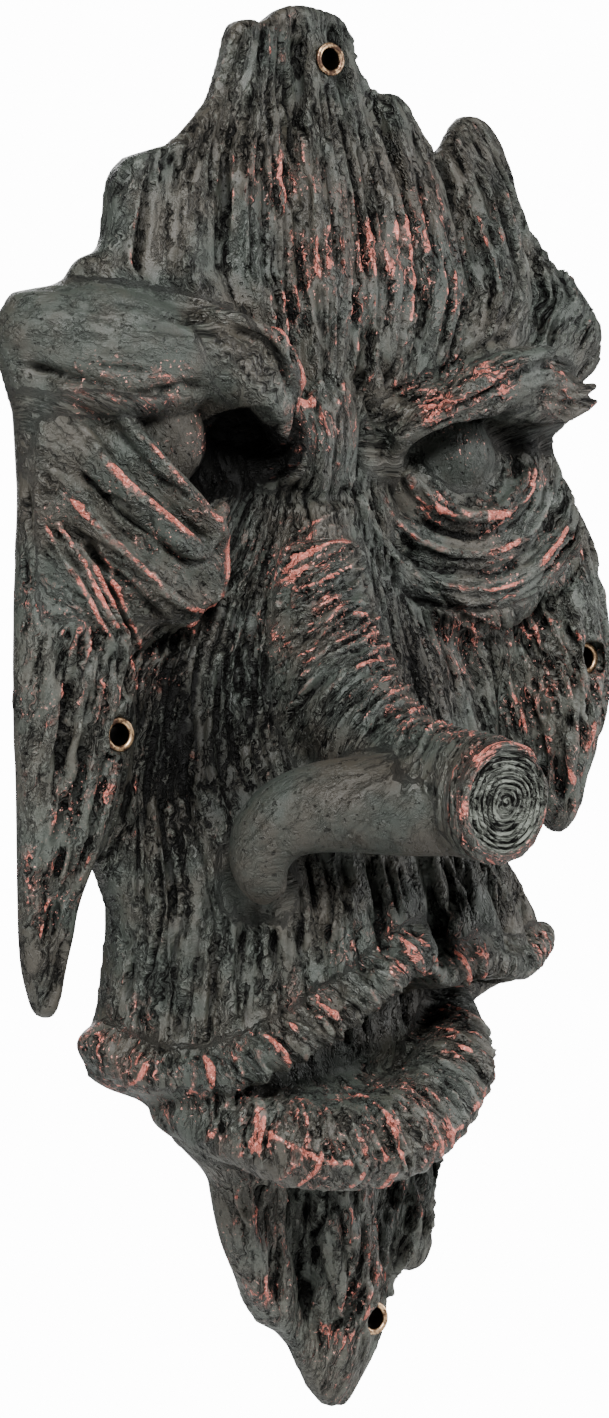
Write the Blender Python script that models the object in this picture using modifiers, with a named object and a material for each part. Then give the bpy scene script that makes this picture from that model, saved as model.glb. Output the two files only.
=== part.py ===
"""A wall sculpture of an old tree's face, cast in resin, with four brass eyelets for its nails.

The wall is the plane y = 0, the face looks along -Y and +Z is up. The origin lies on the flat back,
half way up and on the middle line. The free carving is written in shares of the height: its unit is
a 400th part of it, and a point is (across, depth in front of the wall, up) in those units.
"""

import math

import bmesh
import bpy
import numpy as np
from mathutils import Matrix, Vector

# Driving sizes, in metres.
FACE_HEIGHT = 0.400
EYELET_BORE_RADIUS = 0.0030
EYELET_WALL = 0.0006
EYELET_FLANGE_WIDTH = 0.0011
EYELET_FLANGE_THICKNESS = 0.0009
EYELET_BACK_GAP = 0.0005
FIT_CLEARANCE = 0.0003

# The carving's unit, and how finely its surface is worked.
UNIT = FACE_HEIGHT / 400
VOXEL = 1.7 * UNIT
SMOOTHING_ROUNDS = 3
FACE_TRIANGLES = 7000
SPARE_BEHIND_WALL = 7
TRIM_BEHIND_WALL = 1
EYELET_SIDES = 24
SEAT_CUT_REACH = 16 * UNIT

# The eyelets: where each sits, and how far in front of the wall its seat is.
EYELETS = {
    "top": (0, 12, 183),
    "left": (-71, 13, -7),
    "right": (91, 13, 15),
    "bottom": (16, 11, -173),
}

# The plate behind the carving, seen from the front, clockwise from the left brow's knob.
HEAD_OUTLINE = [
    (-98, 113), (-83, 116), (-73, 121), (-69, 131), (-68, 145), (-62, 152), (-52, 155), (-43, 159),
    (-36, 167), (-31, 180), (-28, 191), (-23, 194), (-17, 192), (-13, 197), (-6, 199), (4, 198),
    (11, 195), (14, 185), (21, 176), (27, 177), (32, 174), (38, 166), (44, 159), (49, 167),
    (54, 173), (60, 172), (65, 167), (70, 157), (74, 147), (81, 133), (91, 124), (101, 117),
    (104, 110), (101, 100), (90, 92), (85, 80), (84, 60), (78, 20), (66, -20), (60, -45),
    (61, -57), (69, -59), (74, -64), (76, -73), (70, -79), (56, -84), (50, -96), (47, -112),
    (44, -124), (43, -148), (38, -160), (33, -162), (28, -159), (27, -166), (23, -178),
    (18, -187), (12, -196), (7, -199), (1, -194), (-5, -183), (-10, -176), (-17, -173),
    (-22, -166), (-26, -154), (-27, -141), (-33, -130), (-43, -122), (-49, -115), (-54, -109),
    (-63, -106), (-72, -102), (-74, -96), (-71, -84), (-66, -70), (-67, -55), (-73, -40),
    (-76, -10), (-84, 30), (-92, 60), (-95, 76), (-100, 88), (-103, 103),
]
HEAD_EDGE = 9
HEAD_RIM_ROUNDING = 3

# Limbs of bark: each point is (across, depth, up, half width, half thickness).
FOREHEAD_STRIPS = [
    [(-4, 3, 191, 8, 7), (-3, 6, 165, 13, 10), (-4, 8, 135, 16, 13), (-6, 10, 105, 15, 15),
     (-8, 12, 84, 10, 12)],
    [(-22, 3, 187, 6, 6), (-24, 4, 165, 10, 9), (-27, 5, 140, 13, 12), (-27, 8, 115, 13, 13),
     (-22, 10, 92, 10, 12)],
    [(-53, 3, 146, 10, 6), (-50, 4, 135, 14, 9), (-46, 6, 115, 14, 12), (-38, 9, 98, 12, 12)],
    [(-74, 4, 118, 7, 7), (-66, 5, 112, 10, 11)],
    [(8, 3, 186, 6, 7), (14, 5, 162, 11, 9), (16, 7, 140, 14, 12), (16, 9, 112, 14, 14),
     (10, 12, 90, 11, 12), (4, 12, 78, 8, 10)],
    [(28, 3, 171, 5, 6), (32, 4, 155, 8, 8), (36, 5, 135, 12, 11), (36, 7, 112, 13, 13),
     (27, 10, 95, 9, 12), (18, 12, 83, 7, 10)],
    [(57, 3, 165, 6, 6), (60, 4, 148, 9, 8), (62, 5, 128, 13, 10), (58, 6, 110, 14, 12),
     (46, 8, 100, 10, 12)],
    [(76, 3, 132, 7, 6), (84, 4, 120, 11, 8), (92, 5, 108, 11, 10), (80, 5, 103, 12, 12)],
]
LEFT_BROW = [
    [(-90, 6, 102, 12, 11), (-82, 9, 99, 17, 13), (-70, 12, 98, 16, 15), (-58, 14, 97, 13, 15),
     (-46, 16, 94, 9, 12), (-38, 17, 88, 7, 10)],
    [(-88, 11, 87, 5, 7), (-76, 16, 85, 7, 9), (-63, 18, 87, 7, 9), (-52, 18, 88, 6, 8)],
    [(-46, 22, 102, 6, 6), (-41, 25, 95, 6, 6), (-34, 25, 87, 6, 7), (-28, 22, 78, 6, 7),
     (-24, 18, 69, 5, 6)],
]
RIGHT_BROW = [
    [(16, 18, 76, 4, 5), (26, 23, 82, 6, 6), (38, 26, 88, 8, 7), (50, 28, 94, 8.5, 7),
     (61, 27, 98, 7, 6)],
    [(60, 24, 97, 7, 6), (72, 22, 94, 5, 5), (82, 21, 94, 3, 4)],
    [(56, 21, 88, 6, 7), (74, 19, 87, 5, 5), (88, 18, 90, 3, 3)],
    [(66, 8, 90, 12, 12), (82, 6, 92, 12, 10)],
]
KNOT = [[(-8, 16, 88, 9, 9), (-9, 18, 77, 12, 10), (-10, 17, 68, 10, 9)]]
LEFT_BAGS = [
    [(-81, 9, 80, 4, 6), (-71, 12, 69, 4, 7), (-60, 15, 59, 4, 7), (-50, 18, 53, 4, 7),
     (-43, 19, 49, 3.5, 6)],
    [(-89, 8, 80, 5, 7), (-78, 11, 64, 6, 8), (-64, 14, 50, 6, 8), (-52, 15, 42, 6, 8),
     (-45, 15, 39, 5, 7)],
    [(-88, 7, 62, 6, 7), (-80, 9, 50, 7, 9), (-68, 11, 37, 8, 10), (-54, 11, 30, 8, 10),
     (-44, 11, 30, 6, 9), (-41, 12, 40, 5, 8), (-40, 12, 47, 4, 7)],
]
RIGHT_BAGS = [
    [(20, 13, 67, 3, 5), (34, 14, 56, 3.5, 6), (47, 15, 53, 4, 6), (60, 14, 59, 4, 6),
     (69, 12, 68, 4, 6), (71, 9, 78, 4, 6)],
    [(18, 11, 60, 5, 7), (34, 11, 46, 6, 8), (50, 11, 42, 6, 8), (65, 10, 50, 6, 8),
     (77, 8, 64, 5, 7)],
    [(24, 8, 42, 6, 9), (38, 9, 32, 8, 10), (54, 9, 28, 9, 10), (70, 8, 36, 8, 10),
     (82, 6, 52, 7, 9)],
]
NOSE = [
    (-7, 14, 62, 8, 9), (-8, 18, 46, 11, 11), (-8, 20, 26, 15, 14), (-7, 28, 4, 19, 17),
    (-3, 46, -15, 18, 16), (1, 68, -22, 16.5, 17), (3, 91, -25, 16.5, 17.5),
]
NOSE_WINGS = [
    [(0, 72, -26, 13, 13), (-12, 63, -26, 13.5, 13.5), (-28, 54, -26, 12.5, 13),
     (-39, 48, -29, 11, 11.5), (-45, 44, -36, 9, 9.5), (-45, 43, -43, 8, 8), (-42, 42, -48, 6.5, 6)],
    [(6, 70, -25, 12, 12), (20, 58, -24, 11, 11), (32, 45, -24, 9, 10), (40, 34, -28, 8, 8)],
]
MOUTH_WALL = [
    [(-40, 14, -100, 8, 8), (-22, 19, -98, 14, 9), (-4, 20, -92, 16, 10), (12, 19, -88, 15, 10),
     (26, 14, -84, 14, 9), (36, 8, -84, 12, 8)],
]
LOWER_LIP = [
    [(-54, 15, -110, 7, 8), (-42, 29, -115, 10, 10), (-28, 40, -119, 12, 11),
     (-14, 45, -119, 12.5, 12), (0, 46, -116, 13, 12), (14, 42, -109, 12.5, 12),
     (27, 34, -100, 11.5, 11), (35, 23, -92, 10, 10), (40, 12, -84, 8, 8)],
    [(-44, 36, -115, 3, 3), (-29, 49, -122, 4, 4), (-8, 54, -122, 4, 4), (8, 51, -118, 4, 4),
     (24, 42, -108, 4, 4), (37, 30, -95, 3, 3)],
]
JAW = [
    [(-57, 6, -98, 8, 9), (-48, 9, -106, 9, 11), (-37, 10, -116, 11, 12), (-24, 9, -130, 10, 10),
     (-20, 7, -142, 9, 9)],
]
BEARD = [
    [(-26, 6, -125, 10, 11), (-23, 7, -145, 10, 10), (-18, 7, -158, 8, 9), (-14, 6, -168, 5, 7)],
    [(0, 12, -122, 14, 14), (3, 11, -148, 13, 13), (7, 9, -168, 11, 11), (8, 6, -184, 7, 8),
     (8, 4, -193, 4, 6)],
    [(34, 6, -108, 10, 9), (35, 5, -130, 8, 8), (35, 5, -146, 7, 8), (33, 4, -156, 5, 6)],
]
FLAPS = [
    [(-92, 5, 85, 7, 8), (-88, 6, 60, 10, 9), (-84, 7, 30, 16, 10), (-82, 8, 2, 19, 11),
     (-84, 7, -25, 15, 11), (-88, 6, -47, 10, 9), (-90, 5, -67, 7, 7), (-89, 4, -81, 4, 5)],
    [(79, 5, 72, 6, 8), (84, 6, 58, 8, 9), (89, 7, 44, 10, 9), (90, 8, 28, 14, 10),
     (88, 9, 10, 16, 12), (86, 8, -10, 14, 11), (87, 6, -26, 9, 8), (87, 5, -32, 5, 6)],
]

# The hood that spreads from beside the nose to the wavy rim over the mouth, as rows of points.
HOOD_RIM = [
    (-73, 9, -98), (-63, 23, -105), (-48, 35, -104), (-32, 46, -95), (-15, 51, -84),
    (2, 55, -71), (15, 49, -78), (28, 48, -74), (50, 37, -77), (74, 18, -71),
]
HOOD = [
    [(-28, 10, 62), (-24, 15, 62), (-20, 18, 62), (-15, 20, 63), (-10, 22, 64),
     (-4, 23, 64), (2, 22, 64), (8, 20, 63), (14, 15, 62), (20, 10, 62)],
    [(-40, 10, 42), (-34, 16, 42), (-28, 19, 42), (-20, 21, 42), (-12, 23, 42),
     (-4, 24, 42), (4, 24, 42), (12, 22, 42), (24, 16, 42), (34, 10, 42)],
    [(-60, 9, 8), (-50, 14, 12), (-40, 18, 14), (-28, 21, 15), (-16, 24, 15),
     (-4, 25, 15), (8, 24, 15), (20, 22, 15), (36, 15, 15), (52, 9, 14)],
    [(-69, 8, -24), (-61, 14, -22), (-48, 22, -20), (-32, 29, -20), (-16, 33, -20),
     (-3, 34, -20), (10, 33, -20), (24, 30, -20), (42, 20, -20), (60, 9, -20)],
    [(-67, 8, -55), (-60, 19, -57), (-47, 32, -56), (-30, 41, -54), (-14, 46, -52),
     (1, 48, -50), (13, 43, -50), (26, 41, -50), (44, 30, -52), (62, 12, -54)],
    HOOD_RIM,
]
HOOD_PEAK = 5
HOOD_LIP_LEFT = 6
HOOD_LIP_RIGHT = 5
HOOD_LIP_SET_BACK = 4

# Grooves in the bark: the half width and the depth, then (across, depth, up) points.
GROOVES = [
    (1.8, 2.6, [(-10, 12, 194), (-12, 16, 165), (-14, 21, 135), (-17, 23, 105), (-16, 24, 88)]),
    (1.8, 2.6, [(4, 12, 192), (5, 17, 165), (4, 22, 135), (2, 24, 105), (-2, 24, 90)]),
    (1.8, 2.4, [(-26, 10, 180), (-34, 14, 150), (-36, 19, 125), (-30, 23, 102)]),
    (1.8, 2.4, [(18, 12, 172), (25, 16, 150), (28, 20, 125), (20, 24, 100), (8, 25, 84)]),
    (1.8, 2.2, [(44, 10, 157), (48, 14, 140), (50, 17, 120), (40, 20, 104)]),
    (1.8, 2.2, [(-50, 12, 150), (-56, 14, 130), (-52, 17, 115)]),
    (1.8, 2.2, [(70, 12, 150), (76, 13, 130), (78, 14, 116)]),
    (2.2, 2.4, [(-26, 17, 60), (-33, 18, 40), (-44, 18, 12), (-55, 20, -22), (-54, 28, -55)]),
    (2.2, 2.4, [(-18, 22, 60), (-24, 22, 40), (-34, 21, 14), (-42, 26, -20), (-40, 38, -55)]),
    (2.2, 2.4, [(-54, 28, -55), (-57, 30, -90)]),
    (2.2, 2.4, [(-40, 38, -55), (-42, 42, -88)]),
    (2.2, 2.4, [(-26, 34, -26), (-25, 44, -55), (-26, 49, -80)]),
    (2.2, 2.4, [(-8, 36, -38), (-8, 47, -55), (-8, 52, -68)]),
    (3.0, 5.0, [(17, 40, -38), (17, 43, -52), (12, 50, -66)]),
    (2.2, 2.4, [(22, 25, 30), (27, 24, 0), (33, 26, -25), (37, 36, -50), (39, 42, -66)]),
    (2.2, 2.4, [(30, 18, 34), (40, 18, 6), (47, 19, -20), (53, 24, -50), (60, 28, -64)]),
    (2.2, 2.6, [(-93, 14, 60), (-92, 16, 30), (-90, 18, 0), (-91, 16, -30), (-92, 12, -60)]),
    (2.2, 2.4, [(-79, 18, 22), (-81, 19, 5), (-83, 18, -20), (-86, 15, -50)]),
    (2.0, 2.2, [(-89, 15, 54), (-77, 18, 36), (-66, 18, 20)]),
    (2.0, 2.2, [(-91, 15, 40), (-80, 18, 22), (-72, 18, 8)]),
    (2.2, 2.4, [(98, 14, 40), (99, 16, 10), (92, 15, -22)]),
    (2.2, 2.4, [(80, 17, 28), (77, 19, 5), (79, 16, -22)]),
    (2.0, 2.6, [(-14, 24, -128), (-9, 20, -150), (-3, 16, -176)]),
    (2.0, 2.6, [(8, 24, -130), (11, 21, -148), (9, 17, -160)]),
    (2.0, 2.2, [(-25, 17, -136), (-21, 17, -150), (-17, 15, -164)]),
    (2.0, 2.2, [(36, 12, -118), (36, 12, -150)]),
]
GROOVE_DEPTH_WEIGHT = 0.4
EDGE_LEFT_PLAIN = 3


def material(name, colour, metallic, roughness):
    """A plain surface in one colour."""
    made = bpy.data.materials.new(name)
    made.use_nodes = True
    shader = made.node_tree.nodes["Principled BSDF"]
    shader.inputs["Base Color"].default_value = (*colour, 1)
    shader.inputs["Metallic"].default_value = metallic
    shader.inputs["Roughness"].default_value = roughness
    return made


def spline(points, steps):
    """Rows of numbers along a smooth curve through the given rows."""
    rows = np.array([points[0], *points, points[-1]], float)
    made = []
    for before, start, end, after in zip(rows, rows[1:], rows[2:], rows[3:]):
        for t in np.arange(steps) / steps:
            line = 2 * start + (end - before) * t
            bend = (2 * before - 5 * start + 4 * end - after) * t ** 2
            turn = (3 * start - before - 3 * end + after) * t ** 3
            made.append((line + bend + turn) / 2)
    made.append(rows[-1])
    return np.array(made)


def limb(clay, points, across_of=(0, 1, 0), sides=14, round_ends=True):
    """A tapering limb with an oval section; its half width lies square to its run and to across_of."""
    rows = spline(points, 4)
    centres = rows[:, :3] * (1, -1, 1)
    runs = np.gradient(centres, axis=0)
    runs /= np.linalg.norm(runs, axis=1)[:, None]
    sections = [(centre, run, row[3:5]) for centre, run, row in zip(centres, runs, rows)]
    for angle in (30, 55, 80) if round_ends else ():
        reach = math.sin(math.radians(angle)) * rows[:, 3:5].min(axis=1)
        shrink = math.cos(math.radians(angle))
        sections.insert(0, (centres[0] - runs[0] * reach[0], runs[0], rows[0, 3:5] * shrink))
        sections.append((centres[-1] + runs[-1] * reach[-1], runs[-1], rows[-1, 3:5] * shrink))
    turns = np.arange(sides) * 2 * math.pi / sides
    rings = []
    for centre, run, size in sections:
        wide = np.cross(run, across_of)
        wide /= np.linalg.norm(wide)
        thick = np.cross(wide, run)
        oval = centre + np.outer(np.cos(turns) * size[0], wide) + np.outer(np.sin(turns) * size[1], thick)
        rings.append([clay.verts.new(Vector(place) * UNIT) for place in oval])
    for near, far in zip(rings, rings[1:]):
        for k in range(sides):
            j = (k + 1) % sides
            clay.faces.new((near[k], near[j], far[j], far[k]))
    clay.faces.new(rings[0][::-1])
    clay.faces.new(rings[-1])


def limbs(clay, many):
    for points in many:
        limb(clay, points)


def ball(clay, centre, half_sizes):
    """An ellipsoid, its centre as (across, depth, up)."""
    across, depth, up = centre
    place = Matrix.Translation(Vector((across, -depth, up)) * UNIT)
    size = Matrix.Diagonal((*half_sizes, 1)) @ Matrix.Scale(UNIT, 4)
    bmesh.ops.create_uvsphere(clay, u_segments=24, v_segments=16, radius=1, matrix=place @ size)


def drape(clay, rows):
    """A sheet over rows of points, solid back to behind the wall plane."""
    finer = np.array([spline(row, 4) for row in rows])
    count = finer.shape[1]
    sheet = spline(finer.reshape(len(rows), -1), 4).reshape(-1, count, 3)
    loops = []
    for row in sheet:
        front = [clay.verts.new(Vector((across, -depth, up)) * UNIT) for across, depth, up in row]
        back = [clay.verts.new(Vector((across, SPARE_BEHIND_WALL, up)) * UNIT) for across, _, up in row]
        loops.append(front + back[::-1])
    around = 2 * count
    for upper, lower in zip(loops, loops[1:]):
        for k in range(around):
            j = (k + 1) % around
            clay.faces.new((upper[k], lower[k], lower[j], upper[j]))
    for k in range(count - 1):
        opposite = around - 1 - k
        for loop, step in ((loops[0], 1), (loops[-1], -1)):
            side = (loop[k], loop[k + 1], loop[opposite - 1], loop[opposite])
            clay.faces.new(side[::step])


def plate(clay, outline):
    """The flat plate with a rounded front rim that carries the carving."""
    curve = bpy.data.curves.new("plate", "CURVE")
    curve.dimensions = "2D"
    curve.fill_mode = "BOTH"
    curve.bevel_depth = HEAD_RIM_ROUNDING * UNIT
    curve.bevel_resolution = 2
    curve.offset = -HEAD_RIM_ROUNDING * UNIT
    curve.extrude = ((HEAD_EDGE + SPARE_BEHIND_WALL) / 2 - HEAD_RIM_ROUNDING) * UNIT
    line = curve.splines.new("POLY")
    smooth = spline([*outline, outline[0]], 2)[:-1]
    line.points.add(len(smooth) - 1)
    for point, (across, up) in zip(line.points, smooth):
        point.co = (across * UNIT, up * UNIT, 0, 1)
    line.use_cyclic_u = True
    flat = bpy.data.objects.new("plate", curve)
    bpy.context.collection.objects.link(flat)
    mesh = bpy.data.meshes.new_from_object(flat.evaluated_get(bpy.context.evaluated_depsgraph_get()))
    middle = (SPARE_BEHIND_WALL - HEAD_EDGE) / 2 * UNIT
    mesh.transform(Matrix.Translation((0, middle, 0)) @ Matrix.Rotation(math.pi / 2, 4, "X"))
    clay.from_mesh(mesh)
    bpy.data.objects.remove(flat)


def apply_modifiers(lump):
    graph = bpy.context.evaluated_depsgraph_get()
    mesh = bpy.data.meshes.new_from_object(lump.evaluated_get(graph))
    lump.modifiers.clear()
    lump.data = mesh


def fused(clay, name):
    """An object whose one skin wraps all the forms in the clay."""
    mesh = bpy.data.meshes.new(name)
    clay.to_mesh(mesh)
    clay.free()
    lump = bpy.data.objects.new(name, mesh)
    parts.objects.link(lump)
    fuse = lump.modifiers.new("fuse", "REMESH")
    fuse.mode = "VOXEL"
    fuse.voxel_size = VOXEL
    apply_modifiers(lump)
    return lump


def carve(mesh, grooves):
    """Sinks the grooves into the front of the mesh; depth counts less than the way across and up."""
    count = len(mesh.vertices)
    places = np.empty(count * 3)
    normals = np.empty(count * 3)
    mesh.vertices.foreach_get("co", places)
    mesh.vertex_normals.foreach_get("vector", normals)
    places = places.reshape(-1, 3) / UNIT
    normals = normals.reshape(-1, 3)
    weight = np.array((1, GROOVE_DEPTH_WEIGHT, 1))
    sunk = np.zeros(count)
    for half_width, height, points in grooves:
        path = spline(points, 4) * (1, -1, 1) * weight
        nearest = np.full(count, np.inf)
        for start, end in zip(path, path[1:]):
            run = end - start
            share = np.clip((places * weight - start) @ run / (run @ run), 0, 1)
            gap = np.linalg.norm(places * weight - start - share[:, None] * run, axis=1)
            nearest = np.minimum(nearest, gap)
        sunk += height * np.exp(-0.5 * (nearest / half_width) ** 2)
    sunk[(normals[:, 1] > 0) | (places[:, 1] > -EDGE_LEFT_PLAIN)] = 0
    mesh.vertices.foreach_set("co", ((places - normals * sunk[:, None]) * UNIT).ravel())
    mesh.update()


def cut_at_wall(mesh, behind):
    """Takes away what lies behind the plane that far behind the wall, and closes the cut."""
    shape = bmesh.new()
    shape.from_mesh(mesh)
    everything = shape.verts[:] + shape.edges[:] + shape.faces[:]
    plane = (0, behind * UNIT, 0)
    cut = bmesh.ops.bisect_plane(
        shape, geom=everything, dist=1e-7, plane_co=plane, plane_no=(0, 1, 0), clear_outer=True
    )
    rim = [piece for piece in cut["geom_cut"] if isinstance(piece, bmesh.types.BMEdge)]
    bmesh.ops.holes_fill(shape, edges=rim)
    shape.to_mesh(mesh)
    shape.free()


def model_head():
    """The plate, the forehead and the brows, with the two hollows that the eyes sit in."""
    clay = bmesh.new()
    plate(clay, HEAD_OUTLINE)
    ball(clay, (-2, 0, 100), (62, 21, 82))
    limbs(clay, FOREHEAD_STRIPS + LEFT_BROW + RIGHT_BROW + KNOT)
    head = fused(clay, "head")
    sockets = bmesh.new()
    ball(sockets, (-44, 22, 67), (21, 16, 15))
    ball(sockets, (44, 22, 69), (24, 16, 15))
    hollow = fused(sockets, "sockets")
    cut = head.modifiers.new("cut", "BOOLEAN")
    cut.operation = "DIFFERENCE"
    cut.object = hollow
    apply_modifiers(head)
    bpy.data.objects.remove(hollow)
    return head


def model_face():
    """The whole casting, still without its eyelet holes."""
    head = model_head()
    clay = bmesh.new()
    clay.from_mesh(head.data)
    bpy.data.objects.remove(head)
    ball(clay, (-54, 10, 73), (12, 12, 12))
    ball(clay, (45, 10, 73), (12, 12, 12))
    ball(clay, (-66, 0, 44), (30, 18, 34))
    ball(clay, (50, 0, 50), (36, 19, 38))
    limbs(clay, LEFT_BAGS + RIGHT_BAGS + FLAPS)
    drape(clay, HOOD)
    for half, rim in (HOOD_LIP_LEFT, HOOD_RIM[:HOOD_PEAK + 1]), (HOOD_LIP_RIGHT, HOOD_RIM[HOOD_PEAK + 1:]):
        limb(clay, [(across, depth - HOOD_LIP_SET_BACK, up + half, half, half) for across, depth, up in rim])
    limb(clay, NOSE, across_of=(0, 0, 1), sides=20, round_ends=False)
    for wing in NOSE_WINGS:
        limb(clay, wing, across_of=(0, 0, 1))
    ball(clay, (-5, 16, -112), (42, 26, 12))
    limbs(clay, MOUTH_WALL + LOWER_LIP + JAW + BEARD)
    face = fused(clay, "face")
    ease = face.modifiers.new("ease", "SMOOTH")
    ease.iterations = SMOOTHING_ROUNDS
    apply_modifiers(face)
    carve(face.data, GROOVES)
    cut_at_wall(face.data, TRIM_BEHIND_WALL)
    thin = face.modifiers.new("thin", "DECIMATE")
    thin.ratio = FACE_TRIANGLES / (2 * len(face.data.polygons))
    apply_modifiers(face)
    cut_at_wall(face.data, 0)
    face.data.materials.append(material("bronze_green_resin", (0.055, 0.06, 0.052), 0.0, 0.6))
    return face


def drill(face, name, radius, near, far, across, up):
    """Cuts a round hole, square to the wall, between two depths."""
    shape = bmesh.new()
    bmesh.ops.create_cone(
        shape, cap_ends=True, segments=EYELET_SIDES, radius1=radius, radius2=radius, depth=far - near,
        matrix=Matrix.Rotation(math.pi / 2, 4, "X"),
    )
    mesh = bpy.data.meshes.new(name)
    shape.to_mesh(mesh)
    shape.free()
    tool = bpy.data.objects.new(name, mesh)
    tool.location = (across, -(near + far) / 2, up)
    tool.hide_render = True
    tool.display_type = "WIRE"
    cutters.objects.link(tool)
    cut = face.modifiers.new(name, "BOOLEAN")
    cut.operation = "DIFFERENCE"
    cut.object = tool


def model_eyelet(face, name, across, seat, up, brass):
    """A brass eyelet with a rolled flange, in a hole through the resin that has a flat seat."""
    inner = EYELET_BORE_RADIUS
    outer = inner + EYELET_WALL
    rim = outer + EYELET_FLANGE_WIDTH
    under = seat + FIT_CLEARANCE
    front = under + EYELET_FLANGE_THICKNESS
    edge = under + EYELET_FLANGE_THICKNESS / 2
    drill(face, name + "_hole", outer + FIT_CLEARANCE, -FIT_CLEARANCE, under, across, up)
    drill(face, name + "_seat", rim + FIT_CLEARANCE, seat, seat + SEAT_CUT_REACH, across, up)
    profile = [
        (inner, EYELET_BACK_GAP), (outer, EYELET_BACK_GAP), (outer, under), (rim, under), (rim, edge),
        (rim - EYELET_FLANGE_WIDTH / 3, front), (outer, front), (inner, edge),
    ]
    mesh = bpy.data.meshes.new(name)
    loop = [(k, (k + 1) % len(profile)) for k in range(len(profile))]
    mesh.from_pydata([(radius, -depth, 0) for radius, depth in profile], loop, [])
    mesh.materials.append(brass)
    eyelet = bpy.data.objects.new(name, mesh)
    eyelet.location = (across, 0, up)
    parts.objects.link(eyelet)
    turn = eyelet.modifiers.new("turn", "SCREW")
    turn.axis = "Y"
    turn.steps = EYELET_SIDES
    turn.render_steps = EYELET_SIDES
    turn.use_merge_vertices = True
    turn.merge_threshold = 0.00001
    turn.use_normal_calculate = True
    turn.use_normal_flip = True


for old in list(bpy.data.objects):
    bpy.data.objects.remove(old)
parts = bpy.data.collections.new("bark_face_plaque")
cutters = bpy.data.collections.new("cutters")
bpy.context.scene.collection.children.link(parts)
bpy.context.scene.collection.children.link(cutters)

casting = model_face()
eyelet_brass = material("eyelet_brass", (0.55, 0.40, 0.18), 1.0, 0.35)
for place, (across, seat, up) in EYELETS.items():
    model_eyelet(casting, "eyelet_" + place, across * UNIT, seat * UNIT, up * UNIT, eyelet_brass)
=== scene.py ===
import math

import bmesh
import bpy
import numpy as np
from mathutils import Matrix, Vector, noise
from mathutils.bvhtree import BVHTree


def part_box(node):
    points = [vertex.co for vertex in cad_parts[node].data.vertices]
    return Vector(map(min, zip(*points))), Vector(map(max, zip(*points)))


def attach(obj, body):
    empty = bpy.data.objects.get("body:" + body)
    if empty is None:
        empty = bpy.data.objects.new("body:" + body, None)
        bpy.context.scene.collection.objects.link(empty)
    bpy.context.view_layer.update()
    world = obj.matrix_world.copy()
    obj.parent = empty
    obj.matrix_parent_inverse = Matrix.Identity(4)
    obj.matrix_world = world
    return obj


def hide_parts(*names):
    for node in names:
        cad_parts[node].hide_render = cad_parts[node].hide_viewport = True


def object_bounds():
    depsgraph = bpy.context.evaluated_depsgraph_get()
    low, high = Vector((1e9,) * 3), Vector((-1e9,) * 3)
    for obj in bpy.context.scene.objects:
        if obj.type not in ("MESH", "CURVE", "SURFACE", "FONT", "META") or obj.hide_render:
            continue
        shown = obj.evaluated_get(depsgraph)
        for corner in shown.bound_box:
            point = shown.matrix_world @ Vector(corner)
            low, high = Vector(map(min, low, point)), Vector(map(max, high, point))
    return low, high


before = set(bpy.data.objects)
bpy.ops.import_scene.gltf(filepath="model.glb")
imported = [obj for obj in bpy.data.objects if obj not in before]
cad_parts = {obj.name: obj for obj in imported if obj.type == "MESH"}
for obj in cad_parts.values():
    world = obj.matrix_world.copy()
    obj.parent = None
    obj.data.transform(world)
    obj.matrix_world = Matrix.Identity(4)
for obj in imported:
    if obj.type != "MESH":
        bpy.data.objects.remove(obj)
cad_low, cad_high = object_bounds()

# The casting
# One piece of cold-cast resin, poured in a mould taken from a hand-modelled face of old bark. It is
# dark green-bronze all through, and its ridges are dry-brushed by hand with copper pink.

MM = 0.001
CASTING_VOXEL = 0.8 * MM
CASTING_TRIANGLES = 194000
# What stays sharp when the solid is made finer: bends over this angle, in radians, on the back and in
# the eyelets' seats.
SHARP_BEND = 0.6
BACK_ALLOWANCE = 0.05
SEAT_REACH = 8
FINER_LEVELS = 2
SMOOTHING_ROUNDS = 5
EYELETS = ("eyelet_top", "eyelet_left", "eyelet_right", "eyelet_bottom")
EYELET_AXES = []
for name in EYELETS:
    low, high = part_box(name)
    EYELET_AXES.append(((low.x + high.x) / 2 / MM, (low.z + high.z) / 2 / MM))

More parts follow.
